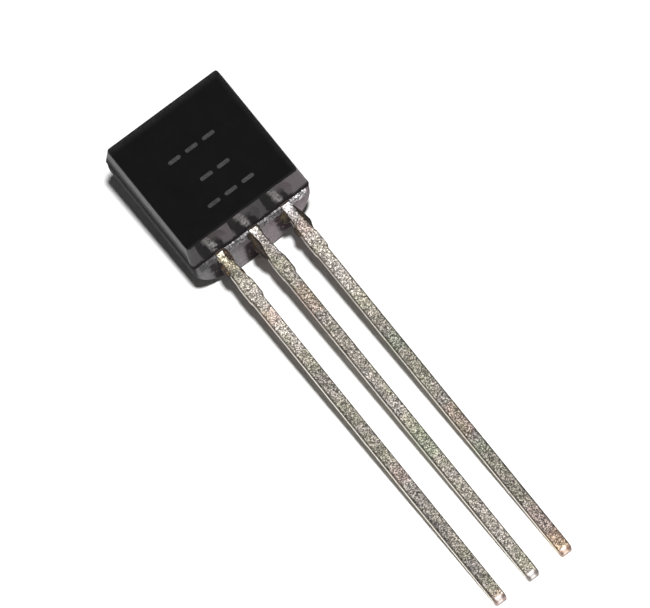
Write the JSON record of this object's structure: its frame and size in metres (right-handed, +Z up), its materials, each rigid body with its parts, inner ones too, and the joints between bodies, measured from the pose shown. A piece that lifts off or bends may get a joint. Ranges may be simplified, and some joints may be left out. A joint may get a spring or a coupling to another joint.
{
  "type": "to-92 transistor",
  "caption": "Small through-hole transistor: drafted black epoxy body with one flat side and one round side, on stamped tin-plated leads in a row.",
  "frame": {"origin": "centre of the bounding box in plan, on the surface that the part lies on", "axes": "+Z up from that surface; +X across the leads, from the emitter lead to the collector lead; +Y from the lead ends towards the top end of the body. The flat faces up, tipped 9.2 degrees towards the lead ends, because the part lies on the rim of its round back and on its lead ends."},
  "size_m": [0.0046, 0.0192, 0.0043],
  "materials": {
    "epoxy": "satin",
    "tin_plate": "satin",
    "solder": "satin",
    "silicon": "gloss",
    "gold_wire": "polished"
  },
  "bodies": {
    "root": {"moulded_body": "epoxy", "emitter_lead": "tin_plate", "base_lead": "tin_plate", "collector_lead": "tin_plate", "die_attach": "solder", "silicon_die": "silicon", "emitter_bond_wire": "gold_wire", "base_bond_wire": "gold_wire"}
  },
  "joints": []
}
